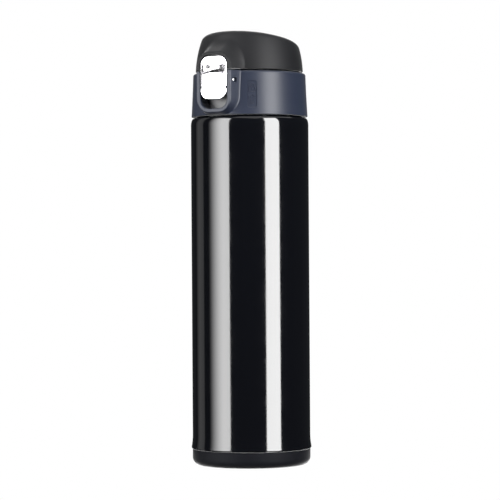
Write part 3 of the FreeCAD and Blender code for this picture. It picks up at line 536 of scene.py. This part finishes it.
# ---------------------------------------------------------------- latch
def make_button():
    """The chrome push button: a flat thumb plate, a scooped neck above it and the hook behind."""
    wide, narrow, step, bottom, top = 8.5, 7.75, 209.3, 203.4, 226.0
    foot, neck_deep, neck_edge, neck_wall, hollow, crease = 3.4, 32.2, 33.9, 1.0, 26.0, 0.7
    plate_top, plate_arch, rim = 218.2, 1.5, 0.15
    cols, rows = 96, 240

    def neck(x):
        return -soft_max(-neck_deep - x * x / hollow, -neck_edge, 0.8)

    def front(x, z):
        ledge = plate_top - plate_arch * (x / narrow) ** 2 - rim
        below = min(max(ledge + foot - z, 0), foot)
        curved = neck(x) + foot - math.sqrt(foot**2 - below**2) + 12 * max(ledge - z, 0)
        return -soft_max(-curved, -BOSS_FACE, crease)

    def back(x, z):
        plate, lean_low, lean_length = BOSS_FACE - 1.5, 213.0, 6.0
        return plate + (neck(x) - neck_wall - plate) * min(max((z - lean_low) / lean_length, 0), 1)

    across = [9 * (2 * k / cols - 1) for k in range(cols + 1)]
    rings = []
    for n in range(rows + 1):
        z = bottom - 0.5 + (top + 1.0 - bottom) * n / rows
        ring = [(x, -front(x, z), z) for x in across]
        rings.append(ring + [(x, -back(x, z), z) for x in reversed(across)])
    plate = stack("button", rings)
    turn, hook_turn = 5.0, 2.0
    edges = [(BOSS_FACE + 0.2, 0.35), (BOSS_FACE - 0.02, 0.3), (BOSS_FACE - 0.1, 0.13)]
    edges += [(BOSS_FACE - 0.3, 0.0), (29, 0.0)]
    rings = []
    for depth, inset in edges:
        outline = arc((turn - wide, bottom + turn), turn - inset, 180, 270, 16)
        outline += arc((wide - turn, bottom + turn), turn - inset, 270, 360, 16)
        outline += [(wide - inset, step - inset), (narrow - inset, step + 0.3 - inset)]
        outline += arc((narrow - hook_turn, top - hook_turn), hook_turn - inset, 0, 90, 6)
        outline += arc((hook_turn - narrow, top - hook_turn), hook_turn - inset, 90, 180, 6)
        outline += [(inset - narrow, step + 0.3 - inset), (inset - wide, step - inset)]
        rings.append([(x, -depth, z) for x, z in outline])
    combine(plate, stack("outline", rings), "INTERSECT")
    hook_half, hook_front, hook_back, hook_low = 5.0, 32.4, 31.3, 224.2
    hook = block("hook", (-hook_half, -hook_front, hook_low), (hook_half, -hook_back, top - 0.1))
    combine(plate, hook, "UNION")
    barrel = rod("barrel", 2.2, 0.4 - narrow, narrow - 0.4, -PIVOT_DEEP, PIVOT_HIGH)
    combine(barrel, rod("bore", PIN_BORE, -20, 20, -PIVOT_DEEP, PIVOT_HIGH), "DIFFERENCE")
    combine(plate, barrel, "UNION")
    return smooth(plate, 32)


def make_ring():
    """The chrome lock ring: a crowned bar between two arms that turn on the latch pin."""
    half, inner, bottom, top, turn = 8.7, 8.0, 222.4, 226.9, 5.1
    cols, rows = 48, 24

    def face(x, z):
        rise = (z - bottom) / (top - bottom)
        return 35.7 - x * x / 190 - 0.25 * rise**2 - 0.12 * (1 - rise) ** 4

    across = [9 * (2 * k / cols - 1) for k in range(cols + 1)]
    rings = []
    for n in range(rows + 1):
        z = bottom + (top - bottom) * n / rows
        front = [(x, -face(x, z), z) for x in across]
        rings.append(front + [(9, -34.3, z), (-9, -34.3, z)])
    bar = stack("lock_bar", rings)
    rings = []
    for depth, inset in ((36.2, 0.45), (35.6, 0.3), (35.45, 0.1), (35.2, 0.0), (34.0, 0.0)):
        floor = bottom + inset * 0.6
        first = math.degrees(math.asin((floor - (top - turn)) / (turn - inset)))
        outline = arc((half - turn, top - turn), turn - inset, first, 90, 14)
        outline += arc((turn - half, top - turn), turn - inset, 90, 180 - first, 14)
        rings.append([(x, -depth, z) for x, z in outline])
    combine(bar, stack("outline", rings), "INTERSECT")
    eye = arc((-PIVOT_DEEP, PIVOT_HIGH), 1.9, -100, 60, 12)
    behind = [(-33.9, 209.8)] + eye + [(-33.2, 219.0), (-34.3, 221.5), (-34.3, 223.4)]
    slices = [(inner, 0.06), (inner + 0.1, 0.0), (half - 0.35, 0.02), (half - 0.15, 0.12), (half, 0.35)]
    for side in (-1, 1):
        rings = []
        for x, drop in slices:
            front = [(drop - 35.55, 223.4), (drop - 35.55, 210.5), (drop - 34.9, 209.95)]
            rings.append([(side * x, y, z) for y, z in front + behind])
        arm = stack("arm", rings)
        combine(arm, rod("bore", PIN_BORE, side * 5, side * 12, -PIVOT_DEEP, PIVOT_HIGH), "DIFFERENCE")
        combine(bar, arm, "UNION")
    bar.name = "lock_loop"
    return smooth(bar, 32)


def make_pin():
    """The latch pin with domed ends."""
    dome = ((0.0, 0.25), (0.08, 0.55), (0.25, 0.85), (0.5, 1.0))
    stations = [(along - PIN_HALF, r) for along, r in dome]
    stations += [(PIN_HALF - along, r) for along, r in reversed(dome)]
    rings = []
    for x, r in stations:
        turns = [2 * math.pi * n / 32 for n in range(32)]
        rings.append([(x, -PIVOT_DEEP + r * math.cos(t), PIVOT_HIGH + r * math.sin(t)) for t in turns])
    return smooth(stack("pin", rings), 60)


# ---------------------------------------------------------------- materials
def material(name, color, roughness, metallic=0.0, specular=0.5):
    """A principled material with its even values on the shader itself."""
    made = bpy.data.materials.new(name)
    made.use_nodes = True
    shader = made.node_tree.nodes["Principled BSDF"]
    shader.inputs["Base Color"].default_value = (*color, 1)
    shader.inputs["Roughness"].default_value = roughness
    shader.inputs["Metallic"].default_value = metallic
    shader.inputs["Specular IOR Level"].default_value = specular
    return made, made.node_tree, shader


def noise(tree, scale, detail=4.0, stretch=(1, 1, 1)):
    """Noise in the object's own coordinates, in features per metre."""
    place = tree.nodes.new("ShaderNodeTexCoord")
    mapping = tree.nodes.new("ShaderNodeMapping")
    mapping.inputs["Scale"].default_value = stretch
    made = tree.nodes.new("ShaderNodeTexNoise")
    made.inputs["Scale"].default_value = scale
    made.inputs["Detail"].default_value = detail
    tree.links.new(place.outputs["Object"], mapping.inputs["Vector"])
    tree.links.new(mapping.outputs["Vector"], made.inputs["Vector"])
    return made.outputs["Fac"]


def ranged(tree, source, low_value, high_value):
    """A noise value spread between two numbers."""
    made = tree.nodes.new("ShaderNodeMapRange")
    made.inputs["From Min"].default_value = 0.3
    made.inputs["From Max"].default_value = 0.7
    made.inputs["To Min"].default_value = low_value
    made.inputs["To Max"].default_value = high_value
    tree.links.new(source, made.inputs["Value"])
    return made.outputs["Result"]


def tinted(tree, source, first, second):
    """A colour that drifts between two tones."""
    made = tree.nodes.new("ShaderNodeMix")
    made.data_type = "RGBA"
    made.inputs["A"].default_value = (*first, 1)
    made.inputs["B"].default_value = (*second, 1)
    tree.links.new(source, made.inputs["Factor"])
    return made.outputs["Result"]


def bumped(tree, shader, source, strength, depth):
    """A bump from a height, depth in metres."""
    made = tree.nodes.new("ShaderNodeBump")
    made.inputs["Strength"].default_value = strength
    made.inputs["Distance"].default_value = depth
    tree.links.new(source, made.inputs["Height"])
    tree.links.new(made.outputs["Normal"], shader.inputs["Normal"])


def plastic(name, color, roughness, grain, grain_depth, drift, specular=0.5, sheen=0.0):
    """Moulded plastic: fine grain, slow drift of tone and roughness."""
    made, tree, shader = material(name, color, roughness, specular=specular)
    shader.inputs["Sheen Weight"].default_value = sheen
    shader.inputs["Sheen Roughness"].default_value = 0.3
    slow = noise(tree, 60.0, 3.0)
    darker = tuple(c * (1 - drift) for c in color)
    lighter = tuple(c * (1 + drift) for c in color)
    tree.links.new(tinted(tree, slow, darker, lighter), shader.inputs["Base Color"])
    fine = noise(tree, grain, 2.0)
    tree.links.new(ranged(tree, fine, roughness - 0.04, roughness + 0.04), shader.inputs["Roughness"])
    bumped(tree, shader, fine, 0.25, grain_depth)
    return made


def metal(name, color, roughness, stretch=(1, 1, 1), depth=0.000004):
    """Bare metal with a fine directional finish."""
    made, tree, shader = material(name, color, roughness, metallic=1.0)
    fine = noise(tree, 4000.0, 3.0, stretch)
    rough = ranged(tree, fine, max(roughness - 0.05, 0.02), roughness + 0.05)
    tree.links.new(rough, shader.inputs["Roughness"])
    slow = noise(tree, 120.0, 2.0)
    darker = tuple(c * 0.94 for c in color)
    tree.links.new(tinted(tree, slow, darker, color), shader.inputs["Base Color"])
    bumped(tree, shader, fine, 0.15, depth)
    return made


def paint():
    """Glossy black baked paint with a faint orange-peel surface."""
    made, tree, shader = material("black_gloss_paint", (0.0016, 0.0018, 0.0026), 0.09, specular=0.5)
    peel = noise(tree, 700.0, 2.0)
    tree.links.new(ranged(tree, noise(tree, 90.0, 3.0), 0.07, 0.11), shader.inputs["Roughness"])
    bumped(tree, shader, peel, 0.10, 0.000004)
    return made


PAINT = paint()
COLLAR = plastic(
    "slate_blue_plastic", (0.0100, 0.0130, 0.0235), 0.40, 7000.0, 0.000012, 0.10,
    specular=0.25, sheen=0.2
)
LID = plastic(
    "charcoal_matte_plastic", (0.0036, 0.0037, 0.0045), 0.56, 5200.0, 0.00003, 0.12,
    specular=0.16, sheen=0.25
)
BASE = plastic(
    "base_charcoal_plastic", (0.0035, 0.0038, 0.0052), 0.60, 6000.0, 0.00002, 0.12,
    specular=0.04, sheen=0.6
)
CASE = plastic("black_housing_plastic", (0.012, 0.0125, 0.016), 0.38, 6000.0, 0.00002, 0.12)
STOPPER = plastic("stopper_plastic", (0.020, 0.021, 0.025), 0.45, 6000.0, 0.00002, 0.12)
MOUTH = plastic("mouthpiece_plastic", (0.028, 0.029, 0.034), 0.40, 6000.0, 0.00002, 0.12)
CHROME = metal("bright_chrome", (0.84, 0.83, 0.85), 0.19, depth=0.000001)
STEEL = metal("ground_steel", (0.60, 0.60, 0.60), 0.28, (1, 1, 8))
INNER_STEEL = metal("polished_inner_steel", (0.66, 0.65, 0.63), 0.22, (1, 1, 12))
SPRING = metal("spring_wire", (0.50, 0.50, 0.50), 0.30)
COPPER = metal("copper_foil", (0.80, 0.40, 0.25), 0.25)
GETTER = metal("getter_metal", (0.32, 0.32, 0.33), 0.60)
SEAL = plastic("seal_glass", (0.10, 0.16, 0.13), 0.15, 3000.0, 0.00001, 0.10)
SILICONE = plastic("grey_silicone", (0.30, 0.31, 0.32), 0.50, 4000.0, 0.00001, 0.05)


def finish_piece(obj, body, paint_with, slot, *nodes):
    """Give a piece its material, its body and the CAD nodes it stands for; slot is not used."""
    obj.data.materials.clear()
    obj.data.materials.append(paint_with)
    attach(obj, body)
    if nodes:
        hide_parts(*nodes)


finish_piece(make_body(), "flask", PAINT, "body_paint", "outer_shell")
finish_piece(make_neck(), "flask", STEEL, "steel", "outer_shell")
finish_piece(make_base(), "flask", BASE, "base_plastic", "base_cover")
finish_piece(make_collar(), "stopper", COLLAR, "collar_plastic", "collar_shell")
for icon in make_icons():
    finish_piece(icon, "stopper", COLLAR, "collar_plastic")
finish_piece(make_knuckles(), "stopper", COLLAR, "collar_plastic")
finish_piece(make_pin(), "stopper", STEEL, "pin_steel", "latch_pin")
finish_piece(make_lid(), "lid", LID, "lid_plastic", "lid_shell")
finish_piece(make_button(), "button", CHROME, "button_chrome", "release_button")
finish_piece(make_ring(), "ring", CHROME, "ring_chrome", "lock_ring")

NODE_MATERIALS = {
    "outer_bottom": STEEL,
    "seal_bead": SEAL,
    "getter": GETTER,
    "copper_foil": COPPER,
    "inner_liner": INNER_STEEL,
    "liner_bottom": INNER_STEEL,
    "latch_housing": CASE,
    "stopper_body": STOPPER,
    "thread_insert": STOPPER,
    "stopper_gasket": SILICONE,
    "mouthpiece": MOUTH,
    "mouthpiece_gasket": SILICONE,
    "hinge_pin": STEEL,
    "lid_spring": SPRING,
    "button_spring": SPRING,
    "lid_liner": STOPPER,
    "lid_gasket": SILICONE,
}
for node, paint_with in NODE_MATERIALS.items():
    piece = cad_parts[node]
    piece.data.materials.clear()
    piece.data.materials.append(paint_with)
    smooth(piece, 30)


# ---------------------------------------------------------------- stage, light and camera
CAMERA_TURN = math.radians(34)
CAMERA_FAR, CAMERA_HIGH = 1.32, 0.1203
FOCAL, SENSOR = 169.06, 36.0
ROLL = math.radians(0.355)


def toward(turn_degrees, distance, height):
    """A point round the flask, its direction counted from the camera's, to the right."""
    turn = CAMERA_TURN + math.radians(turn_degrees)
    return Vector((math.sin(turn) * distance, -math.cos(turn) * distance, height))


def emission(name, strength, shade=None):
    """A light-giving material, evenly bright unless shade builds a multiplier."""
    made = bpy.data.materials.new(name)
    made.use_nodes = True
    tree = made.node_tree
    tree.nodes.clear()
    out = tree.nodes.new("ShaderNodeOutputMaterial")
    glow = tree.nodes.new("ShaderNodeEmission")
    glow.inputs["Strength"].default_value = strength
    tree.links.new(glow.outputs["Emission"], out.inputs["Surface"])
    if shade:
        tree.links.new(shade(tree), glow.inputs["Color"])
    return made


def panel(name, turn, width, tall, height, strength, fade=None):
    """A softbox: an upright glowing sheet 1 m away that faces the flask. fade is (dark, bright) edges."""
    def shade(tree):
        place = tree.nodes.new("ShaderNodeTexCoord")
        split = tree.nodes.new("ShaderNodeSeparateXYZ")
        ramp = tree.nodes.new("ShaderNodeMapRange")
        ramp.interpolation_type = "SMOOTHSTEP"
        ramp.inputs["From Min"].default_value = fade[0]
        ramp.inputs["From Max"].default_value = fade[1]
        tree.links.new(place.outputs["Generated"], split.inputs["Vector"])
        tree.links.new(split.outputs["X"], ramp.inputs["Value"])
        return ramp.outputs["Result"]

    half_w, half_h = width / 2 / MM, tall / 2 / MM
    corners = [(-half_w, 0, -half_h), (half_w, 0, -half_h), (half_w, 0, half_h), (-half_w, 0, half_h)]
    sheet = mesh_object(name, corners, [(0, 1, 2, 3)])
    sheet.data.materials.append(emission(name, strength, shade if fade else None))
    spot = toward(turn, 1.0, height)
    sheet.location = spot
    aim = Vector((0, 0, height)) - spot
    sheet.rotation_euler = (0, 0, math.atan2(aim.x, -aim.y) + math.pi)
    sheet.visible_camera = False
    return sheet


def make_lights():
    """Two tall softboxes that give the strips on the body, a dim one at the back and one overhead."""
    panel("box_right", 44.0, 0.515, 1.5, 0.25, 21.0)
    panel("box_left", -64.8, 0.90, 1.5, 0.25, 14.0, fade=(0.0, 0.75))
    panel("box_back", -118, 0.55, 1.5, 0.25, 0.55, fade=(0.0, 0.6))
    over_high = 1.3
    over = panel("box_over", 0, 2.4, 2.4, over_high, 1.3)
    over.rotation_euler = (math.radians(90), 0, 0)
    over.location = (0, 0, over_high)


def make_world():
    """White behind the flask, and dim grey for its reflections."""
    world = bpy.data.worlds.new("world")
    bpy.context.scene.world = world
    world.use_nodes = True
    tree = world.node_tree
    tree.nodes.clear()
    out = tree.nodes.new("ShaderNodeOutputWorld")
    mix = tree.nodes.new("ShaderNodeMixShader")
    rays = tree.nodes.new("ShaderNodeLightPath")
    dim = tree.nodes.new("ShaderNodeBackground")
    white = tree.nodes.new("ShaderNodeBackground")
    dim.inputs["Color"].default_value = (0.9, 0.95, 1.0, 1)
    dim.inputs["Strength"].default_value = 0.035
    white.inputs["Color"].default_value = (1, 1, 1, 1)
    tree.links.new(rays.outputs["Is Camera Ray"], mix.inputs["Fac"])
    tree.links.new(dim.outputs["Background"], mix.inputs[1])
    tree.links.new(white.outputs["Background"], mix.inputs[2])
    tree.links.new(mix.outputs["Shader"], out.inputs["Surface"])


def make_floor():
    """A plain pale floor that stays white under the flask."""
    size = 6000
    corners = [(-size, -size, 0), (size, -size, 0), (size, size, 0), (-size, size, 0)]
    floor = mesh_object("floor", corners, [(0, 1, 2, 3)])
    floor.location.z = -0.0002
    floor.data.materials.append(emission("floor_white", 1.0))
    floor.visible_glossy = False
    floor.visible_diffuse = False


def make_camera():
    """A level view from half the flask's height, with a slight roll."""
    data = bpy.data.cameras.new("camera")
    data.lens, data.sensor_width = FOCAL, SENSOR
    data.clip_start, data.clip_end = 0.05, 50
    data.shift_x = -0.0008
    camera = bpy.data.objects.new("camera", data)
    bpy.context.scene.collection.objects.link(camera)
    camera.location = toward(0, CAMERA_FAR, CAMERA_HIGH)
    aim = Vector((0, 0, CAMERA_HIGH)) - camera.location
    camera.rotation_mode = "QUATERNION"
    level = aim.to_track_quat("-Z", "Y").to_matrix()
    camera.rotation_quaternion = (level @ Matrix.Rotation(-ROLL, 3, "Z")).to_quaternion()
    bpy.context.scene.camera = camera


make_lights()
make_world()
make_floor()
make_camera()
bpy.context.scene.view_settings.view_transform = "Standard"
